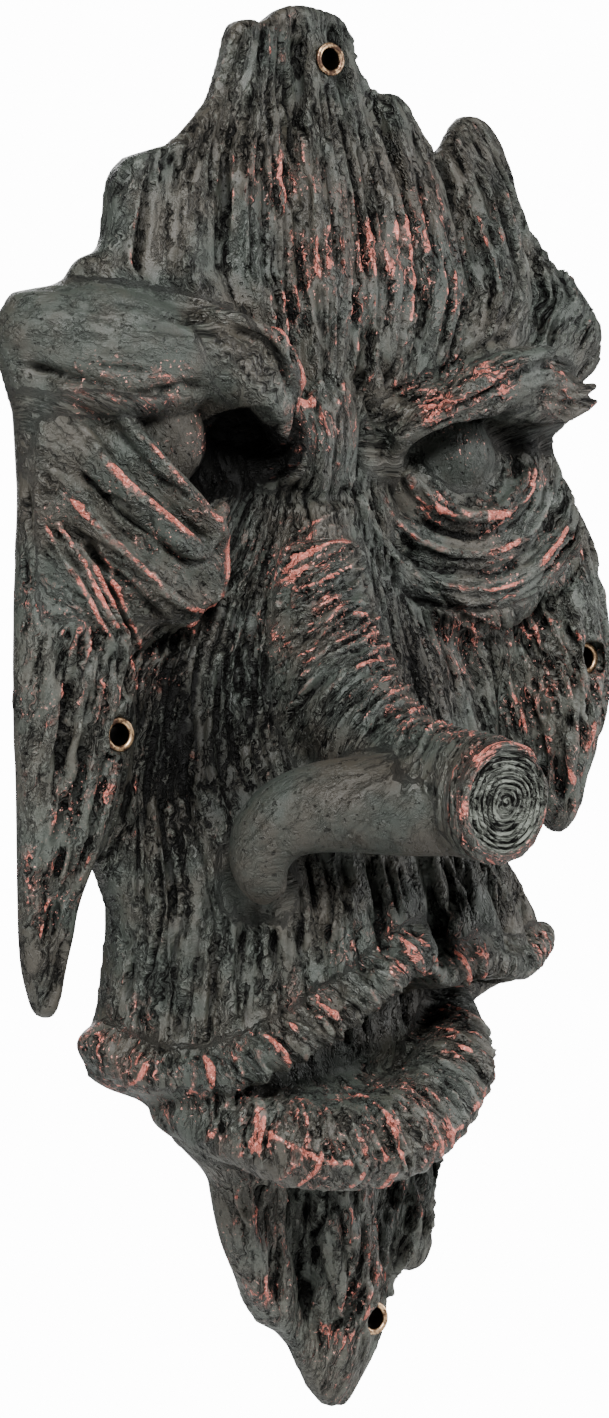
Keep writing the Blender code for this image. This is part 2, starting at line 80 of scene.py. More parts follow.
# Limbs that sharpen the carving, as (across, depth, up, half width, half thickness) in millimetres: the
# rim and band of the left brow's curl, the brow's edge, the lids and folds of the left eye, strands of
# the hood, plugs that close slits, the nose's left wing, a lobe of the crown, and the right eye's lids
# and brow.
CRISP_LIMBS = [
    [(-48, 22, 108, 2, 2.5), (-41, 27, 106, 2.2, 3), (-33, 30, 102, 2.2, 3), (-27, 29, 96, 2.2, 3),
     (-22, 26, 88, 2.2, 3), (-20, 23, 80, 2, 2.5), (-19, 21, 74, 1.5, 2)],
    [(-52, 19, 98, 9, 6), (-41, 23, 96, 9.5, 6), (-33, 25, 91, 8, 6), (-26, 23, 82, 6, 5),
     (-22, 21, 75, 3, 4)],
    [(-90, 14, 86, 2.5, 3), (-83, 18, 85, 2.5, 3), (-72, 22, 85, 3, 3), (-61, 24, 88, 3, 3),
     (-54, 24, 92, 3, 3)],
    [(-75, 18, 81, 2, 2.5), (-67, 21, 71, 2.5, 2.5), (-60, 23, 63, 2.5, 2.5), (-53, 23, 57, 2.5, 2.5),
     (-46, 22, 52, 2.5, 2.5), (-42, 21, 55, 2, 2)],
    [(-74, 12, 82, 5, 4), (-66, 14, 73, 5, 4), (-58, 14, 64, 5, 4), (-50, 13, 58, 4, 4)],
    [(-84, 15, 76, 2, 2), (-79, 18, 67, 2, 2), (-72, 21, 58, 2, 2), (-63, 22, 51, 2.2, 2),
     (-55, 23, 44, 2.5, 2), (-50, 22, 42, 2.5, 2), (-46, 21, 46, 2, 2)],
    [(14, 40, -36, 4, 3), (18, 44, -50, 4.5, 3), (22, 46, -64, 5, 3), (25, 44, -71, 3.5, 3)],
    [(20, 36, -34, 4, 3), (27, 40, -48, 4.5, 3), (34, 41, -62, 5, 3), (38, 39, -71, 3.5, 3)],
    [(26, 30, -32, 4, 3), (36, 34, -46, 4.5, 3), (46, 34, -60, 5, 3), (52, 31, -71, 3.5, 3)],
    [(30, 24, -26, 4, 3), (42, 27, -40, 4.5, 3), (54, 26, -54, 5, 3), (64, 22, -66, 4, 3)],
    [(66, 5, 8, 5, 4), (69, 5, -4, 5, 4), (70, 5, -18, 4, 4)],
    [(-26, 55, -26, 12.5, 12.5), (-12, 63, -26, 13.8, 13.8), (-2, 70, -25.5, 14.2, 14.2),
     (2, 76, -25, 14.2, 14.2)],
    [(31, 9, 146, 4, 4), (27, 10, 160, 4, 4), (24, 9, 172, 2.5, 3)],
    [(22, 20, 66, 1.5, 2), (34, 20, 58, 2, 2), (47, 21, 55, 2, 2), (59, 20, 60, 2, 2), (68, 17, 69, 2, 2)],
    [(16, 23, 77, 2, 2), (27, 30, 86, 3, 2), (40, 34, 93, 3, 2), (52, 36, 99, 3, 2),
     (62, 33, 102, 2.5, 2)],
    [(58, 30, 96, 4, 2), (70, 27, 93, 3.5, 2), (80, 25, 92, 2, 2), (86, 24, 94, 1, 1)],
    [(62, 25, 86, 4, 2), (76, 23, 86, 3, 2), (90, 20, 90, 1, 1)],
]
# The hollow of the left socket, as ovals cut away: middle and half sizes, each across, in depth and up.
SOCKET_OVALS = [((-35, 22, 71), (8.5, 17, 13)), ((-28, 22, 73), (9, 13, 7)), ((-41, 18, 65), (5, 12, 7))]


def spline(points, steps):
    """Rows of numbers along a smooth curve through the given rows."""
    rows = np.array([points[0], *points, points[-1]], float)
    made = []
    for before, start, end, after in zip(rows, rows[1:], rows[2:], rows[3:]):
        for t in np.arange(steps) / steps:
            line = 2 * start + (end - before) * t
            bend = (2 * before - 5 * start + 4 * end - after) * t ** 2
            turn = (3 * start - before - 3 * end + after) * t ** 3
            made.append((line + bend + turn) / 2)
    made.append(rows[-1])
    return np.array(made)


def limb(clay, points, sides=14):
    """A tapering limb with an oval section and round ends, in the clay."""
    rows = spline(points, 4)
    centres = rows[:, :3] * (1, -1, 1)
    runs = np.gradient(centres, axis=0)
    runs /= np.linalg.norm(runs, axis=1)[:, None]
    sections = [(centre, run, row[3:5]) for centre, run, row in zip(centres, runs, rows)]
    for angle in (30, 55, 80):
        reach = math.sin(math.radians(angle)) * rows[:, 3:5].min(axis=1)
        shrink = math.cos(math.radians(angle))
        sections.insert(0, (centres[0] - runs[0] * reach[0], runs[0], rows[0, 3:5] * shrink))
        sections.append((centres[-1] + runs[-1] * reach[-1], runs[-1], rows[-1, 3:5] * shrink))
    turns = np.arange(sides) * 2 * math.pi / sides
    rings = []
    for centre, run, size in sections:
        wide = np.cross(run, (0, 1, 0))
        wide /= np.linalg.norm(wide)
        thick = np.cross(wide, run)
        oval = centre + np.outer(np.cos(turns) * size[0], wide) + np.outer(np.sin(turns) * size[1], thick)
        rings.append([clay.verts.new(Vector(place) * MM) for place in oval])
    for near, far in zip(rings, rings[1:]):
        for k in range(sides):
            j = (k + 1) % sides
            clay.faces.new((near[k], near[j], far[j], far[k]))
    clay.faces.new(rings[0][::-1])
    clay.faces.new(rings[-1])


def with_modifier(piece, kind, **settings):
    """Adds a modifier to the piece and applies it."""
    modifier = piece.modifiers.new(kind.lower(), kind)
    for name, value in settings.items():
        setattr(modifier, name, value)
    bpy.ops.object.select_all(action="DESELECT")
    bpy.context.view_layer.objects.active = piece
    piece.select_set(True)
    bpy.ops.object.modifier_apply(modifier=modifier.name)


clay = bmesh.new()
clay.from_mesh(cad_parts["face"].data)
bmesh.ops.remove_doubles(clay, verts=clay.verts, dist=0.01 * MM)
sharpness = clay.edges.layers.float.new("crease_edge")
for edge in clay.edges:
    middle = (edge.verts[0].co + edge.verts[1].co) / 2 / MM
    on_back = max(end.co.y for end in edge.verts) > -BACK_ALLOWANCE * MM
    in_seat = any(math.hypot(middle.x - x, middle.z - z) < SEAT_REACH for x, z in EYELET_AXES)
    if (on_back or in_seat) and edge.calc_face_angle(0) > SHARP_BEND:
        edge[sharpness] = 1
casting_mesh = bpy.data.meshes.new("bark_casting")
clay.to_mesh(casting_mesh)
clay.free()
casting = bpy.data.objects.new("bark_casting", casting_mesh)
bpy.context.scene.collection.objects.link(casting)
with_modifier(casting, "SUBSURF", levels=FINER_LEVELS, render_levels=FINER_LEVELS)
for (x, depth, z), (wide, deep, tall) in SOCKET_OVALS:
    bpy.ops.object.select_all(action="DESELECT")
    bpy.ops.mesh.primitive_uv_sphere_add(segments=32, ring_count=16, radius=MM, scale=(wide, deep, tall),
                                         location=(x * MM, -depth * MM, z * MM))
    oval = bpy.context.object
    with_modifier(casting, "BOOLEAN", operation="DIFFERENCE", object=oval)
    bpy.data.objects.remove(oval)
clay = bmesh.new()
clay.from_mesh(casting.data)
for points in CRISP_LIMBS:
    limb(clay, points)
clay.to_mesh(casting.data)
clay.free()
with_modifier(casting, "REMESH", mode="VOXEL", voxel_size=CASTING_VOXEL)
with_modifier(casting, "SMOOTH", factor=0.5, iterations=SMOOTHING_ROUNDS)


def read(mesh):
    """The mesh's points in millimetres and its normals."""
    places = np.empty(len(mesh.vertices) * 3)
    normals = np.empty(len(mesh.vertices) * 3)
    mesh.vertices.foreach_get("co", places)
    mesh.vertex_normals.foreach_get("vector", normals)
    return places.reshape(-1, 3) / MM, normals.reshape(-1, 3)


def write(mesh, places):
    """Moves the mesh's points to these places, in millimetres."""
    mesh.vertices.foreach_set("co", (places * MM).ravel())
    mesh.update()


def step(values, low, high):
    """Rises smoothly from 0 at low to 1 at high, or falls where low is above high."""
    share = np.clip((values - low) / (high - low), 0, 1)
    return share * share * (3 - 2 * share)


FAR_OFF = 1e3


def near_path(places, path, reach):
    """The places within reach of the path: which, how far off, how far along it and on which side."""
    near = np.all((places > path.min(axis=0) - reach) & (places < path.max(axis=0) + reach), axis=1)
    index = np.flatnonzero(near)
    close = places[index]
    distance = np.full(len(index), FAR_OFF)
    run = np.zeros(len(index))
    side = np.zeros(len(index))
    passed = 0
    for start, end in zip(path, path[1:]):
        leg = end - start
        length = np.linalg.norm(leg)
        share = np.clip((close - start) @ leg / length ** 2, 0, 1)
        offset = close - start - share[:, None] * leg
        gap = np.linalg.norm(offset, axis=1)
        better = gap < distance
        distance[better] = gap[better]
        run[better] = passed + share[better] * length
        side[better] = np.sign(offset[better, 0] * leg[2] - offset[better, 2] * leg[0])
        passed += length
    within = distance < reach
    return index[within], distance[within], run[within], side[within]


def front_tree(piece):
    """A search tree that finds where a line meets the piece."""
    shape = bmesh.new()
    shape.from_mesh(piece.data)
    tree = BVHTree.FromBMesh(shape)
    shape.free()
    return tree


def front_point(tree, x, z, depth=120):
    """The first point, from this depth back, at this place across and up, or None past the edge."""
    hit = tree.ray_cast(Vector((x, -depth, z)) * MM, Vector((0, 1, 0)))[0]
    return hit and np.array(hit) / MM


# Lines worked into the clay: half width, height (a groove is negative) and (across, up) points.
LINES = [
    (0.7, 1.6, [(-46, 110), (-37, 107), (-28, 100), (-22, 91), (-19, 80)]),
    (0.8, -1.6, [(-43, 104), (-35, 101), (-29, 95), (-25, 87)]),
    (0.6, 0.9, [(-75, 79), (-67, 71), (-60, 63), (-53, 57), (-46, 52), (-42, 54)]),
    (0.8, 1.3, [(-82, 70), (-72, 59), (-62, 52), (-54, 46), (-48, 43)]),
    (0.9, -2.0, [(-84, 64), (-74, 53), (-64, 46), (-55, 40), (-47, 40)]),
    (0.9, 1.6, [(-40, 50), (-40, 40), (-41, 32), (-45, 25), (-53, 23)]),
    (1.2, -2.5, [(-98, 92), (-84, 88), (-70, 85), (-58, 88), (-48, 86)]),
    (1.4, -2.4, [(-66, 108), (-56, 106), (-47, 108)]),
    (1.2, -2.2, [(-22, 90), (-20, 82), (-22, 68), (-18, 60), (-8, 59), (4, 62), (6, 74), (4, 84),
                 (2, 92)]),
    (0.9, 1.4, [(-19, 88), (-15, 84), (-11, 90), (-7, 85), (-3, 91), (1, 86)]),
    (0.8, -1.2, [(-13, 86), (-14, 74), (-14, 64)]),
    (0.8, -1.2, [(-7, 86), (-7, 75), (-8, 64)]),
    (0.8, -1.2, [(-1, 86), (-1, 76), (-2, 66)]),
    (1.4, -3.4, [(2, 96), (8, 86), (13, 76), (16, 68)]),
    (1.2, -2.4, [(10, 100), (15, 92), (24, 88), (34, 92)]),
    (1.2, -2.8, [(18, 80), (28, 90), (38, 97), (50, 105), (62, 108)]),
    (0.9, -1.6, [(24, 82), (36, 88), (48, 94), (60, 99), (72, 98)]),
    (1.0, -1.6, [(60, 92), (72, 91), (82, 92)]),
    (1.6, -3.4, [(17, -38), (18, -50), (14, -64)]),
    (1.3, -2.8, [(-39, 52), (-38, 38), (-40, 28), (-50, 20), (-62, 14), (-70, 4), (-74, -12), (-78, -30)]),
    (1.0, -2.2, [(22, 52), (34, 34), (54, 22), (74, 26), (90, 44)]),
    (1.6, -3.2, [(62, 18), (64, 4), (66, -14), (68, -30)]),
    (1.1, -2.2, [(70, 24), (74, 14), (72, 2), (76, -10)]),
    (0.8, 1.4, [(-88, 58), (-76, 45), (-66, 36), (-56, 29), (-48, 27)]),
    (0.9, -2.0, [(-90, 52), (-78, 40), (-68, 31), (-58, 24)]),
]
# Folds of the bags under the eyes: concentric arcs on the right, leaning lines on the left.
RIGHT_EYE = (45, 73)
for ring in range(6):
    sweep = [math.radians(200 + 20 * k) for k in range(8)]
    wide, tall = 26 + 4.6 * ring, 18 + 5.2 * ring
    arc = [(RIGHT_EYE[0] + wide * math.cos(t), RIGHT_EYE[1] + tall * math.sin(t)) for t in sweep]
    LINES.append((0.9, -1.6 if ring % 2 else 1.2, arc))
for row in range(7):
    LINES.append((0.65, -1.6 if row % 2 else 1.2, [
        (-95 + 2.5 * row, 52 - row), (-86 + 2.5 * row, 36 - row), (-74 + 2.2 * row, 18 - 0.5 * row),
    ]))
# Hanging grooves of the hood, the flaps and the beard.
for k in range(9):
    share = k / 8
    LINES.append((1.1, -1.8, [
        (-24 - 18 * share, 46 - 16 * share), (-28 - 26 * share, 12), (-24 - 38 * share, -24),
        (-10 - 54 * share, -56), (-8 - 58 * share, -70 - 22 * share ** 0.5),
    ]))
for x in (-96, -89, -83, -77):
    LINES.append((1.1, -1.6, [(x, 14), (x - 1, -10), (0.7 * x - 27, -36), (0.3 * x - 63, -62)]))
for x in (76, 82, 88, 94, 99):
    LINES.append((1.1, -1.6, [(x, 30), (x + 1, 10), (x - 1, -10), (0.6 * x + 34, -28)]))
for x in (-17, -11, -5, 1, 7, 13):
    LINES.append((1.0, -1.8, [(x, -132), (x + 3, -148), (0.7 * x + 6, -166), (0.4 * x + 7, -182)]))
for x in (-26, -21, 33, 38):
    LINES.append((0.9, -1.6, [(x, -128), (x + 1, -142), (x + 3, -154)]))
# Ribs across the lower lip and the hood's wavy rim, unevenly spaced.
LIP_AXIS = [
    (-54, 15, -110), (-42, 29, -115), (-28, 40, -119), (-14, 45, -119), (0, 46, -116), (14, 42, -109),
    (27, 34, -100), (35, 23, -92), (40, 12, -84),
]
RIM_AXIS = [
    (-73, 7, -93), (-63, 19, -99), (-48, 31, -98), (-32, 42, -89), (-15, 47, -78), (2, 51, -66),
    (15, 45, -73), (28, 44, -69), (50, 33, -72), (74, 14, -66),
]
random = np.random.default_rng(5)
for axis, spacing, half_length in ((LIP_AXIS, 2.7, 14), (RIM_AXIS, 2.8, 7.5)):
    line = spline(axis, 12)[:, [0, 2]]
    lengths = np.concatenate([[0], np.cumsum(np.hypot(*np.diff(line, axis=0).T))])
    headings = np.gradient(line, axis=0)
    headings /= np.hypot(*headings.T)[:, None]
    start = 3.0
    while start < lengths[-1] - 3:
        k = np.searchsorted(lengths, start)
        outward = np.array([-headings[k, 1], headings[k, 0]])
        low, high = -half_length * random.uniform(0.7, 1), half_length * random.uniform(0.6, 1)
        bend = random.uniform(-2, 2)
        rib = [line[k] + outward * reach + headings[k] * bend * (1 - (reach / half_length) ** 2)
               for reach in np.linspace(low, high, 5)]
        LINES.append((random.uniform(0.5, 0.75), random.uniform(0.5, 1.2), rib))
        start += spacing * random.uniform(0.6, 1.4)
# Wrinkles across the ridge of the nose, and the rims of two blisters on the left brow.
for row in range(13):
    up, middle = 54 - 4.2 * row + random.uniform(-1, 1), -8 + random.uniform(-2, 2)
    LINES.append((random.uniform(0.5, 0.7), random.uniform(0.6, 1.2), [
        (middle + 9, up), (middle, up + 1), (middle - 8, up - 3),
        (middle - random.uniform(12, 17), up - 9),
    ]))
for x, z, wide, tall in ((-82, 86.5, 5, 3), (-65, 87, 6, 3)):
    turns = [math.radians(30 * k) for k in range(12)]
    LINES.append((0.7, 0.5, [(x + wide * math.cos(t), z + tall * math.sin(t)) for t in turns]))
# The crest along the lower lip, and the deep clefts between the lobes of the crown.
LINES.append((0.8, 0.9, [(-44, -113), (-29, -122), (-8, -121), (8, -117), (24, -108), (37, -95)]))
LINES.append((1.2, -3.0, [(19, 174), (21, 162), (24, 148), (27, 136)]))
LINES.append((1.5, -3.4, [(-8, 190), (-9, 178), (-11, 166), (-14, 154), (-17, 144)]))

# How deep the search starts under the wing, so that a line there lands on the hood behind it; how far a
# mark reaches, in its half widths; the run over which a line fades at its ends; the plain rim at the wall.
BEHIND_WING = 38
MARK_REACH = 4
LINE_FADE = 5
PLAIN_RIM = 2.5
places, normals = read(casting.data)
tree = front_tree(casting)
lift = np.zeros(len(places))
rib_crests = np.zeros(len(places))
for half_width, height, points in LINES:
    path = [front_point(tree, x, z, BEHIND_WING if x < -14 and -54 < z < -8 else 120)
            for x, z in spline(points, 6)]
    path = np.array([point for point in path if point is not None])
    path[1:-1, 1] = (path[:-2, 1] + path[1:-1, 1] + path[2:, 1]) / 3
    index, distance, run, _ = near_path(places, path, MARK_REACH * half_width)
    length = np.linalg.norm(np.diff(path, axis=0), axis=1).sum()
    taper = step(run, -1, LINE_FADE) * step(run, length + 1, length - LINE_FADE)
    pressed = height * taper * np.exp(-0.5 * (distance / half_width) ** 2)
    lift[index] += pressed
    rib_crests[index] = np.maximum(rib_crests[index], pressed)
lift[places[:, 1] > -PLAIN_RIM] = 0
write(casting.data, places + normals * lift[:, None])

# The sawn end of the nose has the finest carving, so it gets smaller facets.
NOSE_END = (3, -25)
NOSE_END_DEPTH = 86
NOSE_END_REACH = 17
clay = bmesh.new()
clay.from_mesh(casting.data)
cut_edges = set()
for facet in clay.faces:
    middle = facet.calc_center_median() / MM
    from_pith = math.hypot(middle.x - NOSE_END[0], middle.z - NOSE_END[1])
    if middle.y < -NOSE_END_DEPTH and from_pith < NOSE_END_REACH:
        cut_edges.update(facet.edges)
bmesh.ops.subdivide_edges(clay, edges=list(cut_edges), cuts=1, use_grid_fill=True)
clay.to_mesh(casting.data)
clay.free()
rib_crests = np.concatenate([rib_crests, np.zeros(len(casting.data.vertices) - len(rib_crests))])

# The grain: how the bark runs over each form. A form has a weight, a coordinate across its grain and one
# along it, the spacing of its ridges and their height, all in millimetres.
NOSE_AXIS = [
    (-7, 14, 62), (-8, 18, 46), (-8, 20, 26), (-7, 28, 4), (-3, 46, -15), (1, 68, -22), (3, 91, -25),
]
WING_AXIS = [
    (3, 88, -25), (0, 72, -26), (-12, 63, -26), (-28, 54, -26), (-39, 48, -29), (-45, 44, -36),
    (-44, 43, -46),
]
LEFT_BROW_AXIS = [(-92, 6, 102), (-82, 9, 99), (-70, 12, 98), (-58, 14, 97), (-46, 16, 94), (-36, 18, 86)]
CURL_AXIS = [(-46, 24, 102), (-41, 27, 95), (-34, 27, 87), (-28, 24, 78), (-24, 20, 69)]
RIGHT_BROW_AXIS = [(16, 18, 76), (26, 24, 83), (38, 28, 89), (50, 30, 95), (61, 29, 98), (80, 23, 93)]
EYEBALLS = {"left_eyeball": (-54, 10, 73), "right_eyeball": (45, 10, 73)}
EYEBALL_RADIUS = 12
# The bark's grain draws together and spreads with height: how wide it runs at each height.
FLOW_HEIGHTS = [-200, -160, -130, -110, -95, -55, -22, 10, 42, 62, 75, 95, 120, 150, 195]
FLOW_WIDTHS = [0.3, 0.6, 0.7, 1.0, 1.2, 1.05, 1.05, 0.9, 0.6, 0.42, 0.45, 0.8, 1.0, 0.9, 0.55]
FLOW_MIDDLE = -5


def round_axis(places, axis, reach):
    """For each place: how far it is from the axis, up to the reach, and how far along the axis."""
    index, near, along = near_path(places, spline(axis, 4) * (1, -1, 1), reach)[:3]
    distance = np.full(len(places), FAR_OFF)
    run = np.zeros(len(places))
    distance[index] = near
    run[index] = along
    return distance, run


def forms_of(places):
    """The forms of the casting, each laid over the ones before it; their numbers are millimetres."""
    x, y, z = places.T
    forms = []

    def add(name, weight, across, along, spacing, height):
        forms.append(dict(name=name, weight=weight, across=across, along=along, spacing=spacing,
                          height=height))

    flow = np.interp(z, FLOW_HEIGHTS, FLOW_WIDTHS)
    add("bark", np.ones(len(x)), (x - FLOW_MIDDLE) / flow, z, 6.0, 0.8)
    flap = step(np.abs(x), 58, 72) * step(z, -100, -88) * step(z, 74, 58)
    add("flap", flap, x + 0.25 * z * np.sign(x), z, 5.5, 0.8)
    ring = np.hypot((x - RIGHT_EYE[0]) / 1.15, z - RIGHT_EYE[1])
    bag = step(ring, 50, 40) * step(z, 80, 70) * step(x, 14, 24) * step(y, -30, -24)
    add("right_bag", bag, ring, np.arctan2(z - 73, x - 45) * 25, 4.0, 0.7)
    lean = 0.58 * (x + 53) + 0.82 * (z - 74)
    bag = step(x, -100, -92) * step(x, -38, -44) * step(z, 18, 30) * step(z, 82, 76) * step(lean, 10, 2)
    add("left_bag", bag, lean, 0.82 * (x + 53) - 0.58 * (z - 74), 4.0, 0.7)
    for name, axis, low, high, spacing, height in (
        ("left_brow", LEFT_BROW_AXIS, 16, 20, 6.0, 0.5),
        ("curl", CURL_AXIS, 8, 11, 4.0, 0.6),
        ("right_brow", RIGHT_BROW_AXIS, 10, 13, 3.6, 0.8),
    ):
        distance, run = round_axis(places, axis, high)
        nearest = np.interp(run, np.linspace(0, run.max(), len(axis)), np.array(axis)[:, 2])
        add(name, step(distance, high, low), z - nearest, run, spacing, height)
    distance, run = round_axis(places, NOSE_AXIS, 26)
    girth = np.interp(run, [0, 20, 60, 100, 150], [11, 13, 21, 21, 20])
    nose = step(distance, girth + 2, girth - 1) * step(run, 8, 26)
    add("nose", nose, run + 0.5 * (x + 5), x + z * 0.2, 4.0, 1.0)
    distance, run = round_axis(places, WING_AXIS, 20)
    lower = np.maximum(step(z, -10, -28), step(run, 18, 50))
    add("wing", step(distance, 17, 14) * step(run, 4, 12) * lower, z + y, run, 9.0, 0.35)
    distance, run = round_axis(places, RIM_AXIS, 14)
    add("rim", step(distance, 9, 7), run + 0.3 * z, z, 3.6, 0.8)
    distance, run = round_axis(places, LIP_AXIS, 20)
    add("lip", step(distance, 16.5, 14.5), run + 0.25 * z, z + y, 3.6, 0.9)
    for name, centre in EYEBALLS.items():
        from_centre = np.linalg.norm(places - np.array(centre) * (1, -1, 1), axis=1)
        add(name, step(from_centre, EYEBALL_RADIUS + 1.6, EYEBALL_RADIUS + 0.8), x, z, 3.0, 0.12)
    from_pith = np.hypot(x - NOSE_END[0], z - NOSE_END[1])
    add("nose_end", step(y, -88, -89.5) * step(from_pith, 19, 18), from_pith, z, 3.0, 0.0)
    left = np.ones(len(x))
    for form in reversed(forms):
        form["share"] = form["weight"] * left
        left = left * (1 - form["weight"])
    return forms


def ridges(across, along, depth, spacing, stretch=8.0, octaves=3):
    """Sharp-crested ridges that run along the grain: 0 in the valleys and about 1 on the crests."""
    made = np.empty(len(across))
    for k, (a, b, d) in enumerate(zip(across / spacing, along / spacing, depth / spacing)):
        sway = noise.noise(Vector((a * 0.35, b * 0.22, 7.0))) * 1.1
        place = Vector((a + sway, b / stretch, d * 0.3))
        made[k] = noise.ridged_multi_fractal(place, 0.9, 2.1, octaves, 1.0, 1.6)
    return np.clip(made / 1.6, 0, 1.2)


# Strokes of the modelling tool, by form: lowest and highest place, how many, shortest and longest, half
# width, depth of the gouge and height of the burr that the tool throws up at its edge.
STROKES = [
    ("bark", 84, 196, 230, 10, 36, 1.1, 1.7, 1.3),
    ("bark", -96, 66, 420, 12, 46, 0.8, 1.5, 0.5),
    ("bark", -199, -116, 100, 10, 30, 1.2, 1.7, 1.2),
    ("flap", -100, 72, 110, 10, 30, 1.1, 1.6, 1.2),
    ("right_bag", 0, 76, 55, 12, 30, 0.9, 1.2, 0.9),
    ("left_bag", 18, 84, 30, 12, 32, 0.8, 0.7, 0.7),
    ("nose", -60, 60, 170, 8, 24, 0.8, 1.0, 1.4),
    ("wing", -60, -5, 10, 10, 25, 0.9, 0.4, 0.2),
    ("rim", -110, -55, 90, 6, 13, 0.8, 0.9, 1.1),
    ("lip", -130, -80, 110, 7, 17, 0.8, 1.0, 1.2),
    ("left_brow", 80, 116, 16, 8, 20, 0.9, 0.8, 0.4),
    ("right_brow", 70, 106, 30, 8, 22, 0.8, 0.9, 0.7),
]
# The run over which a stroke fades at its ends, the step in which it is traced, and the drop in depth
# that ends it.
STROKE_FADE = 4
STEP_ALONG = 1.5
LARGEST_DROP = 4
# The front is searched once for each millimetre up and across.
FRONT_ROWS, FRONT_COLUMNS = 401, 211


def stroke_paths(front, forms, group, random):
    """Paths along the grain of one form, from random starts on its front."""
    name, low, high, count, shortest, longest = group[:6]
    chief = np.argmax([form["share"] for form in forms], axis=0).reshape(FRONT_ROWS, FRONT_COLUMNS)
    number = [form["name"] for form in forms].index(name)
    up, right = np.gradient(forms[number]["across"].reshape(FRONT_ROWS, FRONT_COLUMNS))
    steepness = np.hypot(up, right) + 1e-9
    inside = (chief == number) & np.isfinite(front[..., 0])
    inside &= (front[..., 2] > low) & (front[..., 2] < high)
    starts = np.argwhere(inside)
    for place in starts[random.integers(len(starts), size=count)].astype(float):
        length = random.uniform(shortest, longest)
        path = []
        while len(path) * STEP_ALONG < length:
            i, k = np.round(place).astype(int)
            if not (0 <= i < FRONT_ROWS and 0 <= k < FRONT_COLUMNS) or not inside[i, k]:
                break
            if path and abs(path[-1][1] - front[i, k, 1]) > LARGEST_DROP:
                break
            path.append(front[i, k] + (place[1] - k, 0, place[0] - i))
            place += STEP_ALONG * np.array([right[i, k], -up[i, k]]) / steepness[i, k]
        if len(path) > 3:
            path = np.array(path)
            path[1:-1] = (path[:-2] + path[1:-1] + path[2:]) / 3
            yield path


def work_strokes(places, front, random):
    """The depth that the strokes cut into each point, and the height of their burrs."""
    forms = forms_of(np.nan_to_num(front.reshape(-1, 3)))
    cut = np.zeros(len(places))
    burr = np.zeros(len(places))
    for group in STROKES:
        width, depth, lip = group[6:]
        for path in stroke_paths(front, forms, group, random):
            wide = width * random.uniform(0.75, 1.5)
            deep = depth * random.uniform(0.4, 1.2)
            proud = lip * random.uniform(0.0, 1.2)
            index, distance, run, side = near_path(places, path, MARK_REACH * wide)
            length = np.linalg.norm(np.diff(path, axis=0), axis=1).sum()
            taper = step(run, -1, STROKE_FADE) * step(run, length + 1, length - STROKE_FADE)
            chatter = 0.65 + 0.35 * np.sin(run * random.uniform(0.5, 1.1) + random.uniform(0, 6))
            offset = side * random.choice((-1, 1)) * distance / (wide * (0.4 + 0.6 * taper))
            trough = deep * taper * np.exp(-(offset ** 4))
            crest = proud * taper * chatter * np.exp(-(((offset - 1.5) / 0.5) ** 2))
            cut[index] = np.maximum(cut[index], trough)
            burr[index] = np.maximum(burr[index], crest)
    return cut, burr * (1 - np.clip(cut, 0, 1))


places, normals = read(casting.data)
tree = front_tree(casting)
front = np.full((FRONT_ROWS, FRONT_COLUMNS, 3), np.nan)
for row in range(FRONT_ROWS):
    for column in range(FRONT_COLUMNS):
        point = front_point(tree, column - FRONT_COLUMNS // 2, row - FRONT_ROWS // 2)
        if point is not None:
            front[row, column] = point
cut, burr = work_strokes(places, front, np.random.default_rng(11))
forms = forms_of(places)
height = burr - cut
worked = np.maximum(burr, 0.8 * rib_crests) - 0.8 * cut
for form in forms:
    index = np.flatnonzero(form["share"] > 0.01)
    if form["height"] and len(index):
        rough = ridges(form["across"][index], form["along"][index], places[index, 1], form["spacing"])
        height[index] += form["share"][index] * form["height"] * (rough - 0.45)
# The carving fades out towards the wall and round the eyelets' seats.
calm = step(places[:, 1], -1.5, -6)
for x, z in EYELET_AXES:
    calm *= step(np.hypot(places[:, 0] - x, places[:, 2] - z), 5.5, 8.0)
height *= calm
# Growth rings on the sawn end, inside a raised collar of bark.
RING_SPACING = 1.7
radius = np.hypot(places[:, 0] - NOSE_END[0], places[:, 2] - NOSE_END[1])
sawn = step(places[:, 1], -86.5, -88.5) * step(radius, 19, 18)
wobble = np.array([noise.noise(Vector((x * 0.11, z * 0.11, 3.0))) for x, _, z in places])
broken = np.array([noise.noise(Vector((x * 0.3, z * 0.3, 9.0))) for x, _, z in places])
growth = (0.4 + 0.5 * broken) * np.sin((radius + 2.2 * wobble) * math.pi / (RING_SPACING / 2))
growth = growth * step(radius, 14.5, 13.5)
height = height * (1 - sawn) + sawn * (growth + 0.8 * step(radius, 13.2, 14.6) - 1.2)
write(casting.data, places + normals * height[:, None])


def smoothed(piece, iterations):
    """The piece's points after an even smoothing."""
    copy = piece.copy()
    copy.data = piece.data.copy()
    bpy.context.scene.collection.objects.link(copy)
    with_modifier(copy, "SMOOTH", factor=0.5, iterations=iterations)
    eased = read(copy.data)[0]
    bpy.data.objects.remove(copy)
    return eased


# How far each point stands out of the surface after a little smoothing, and after a lot.
FINE_ROUNDS = 6
BROAD_ROUNDS = 80
places, normals = read(casting.data)
fine = np.einsum("ij,ij->i", places - smoothed(casting, FINE_ROUNDS), normals)
broad = np.einsum("ij,ij->i", places - smoothed(casting, BROAD_ROUNDS), normals)

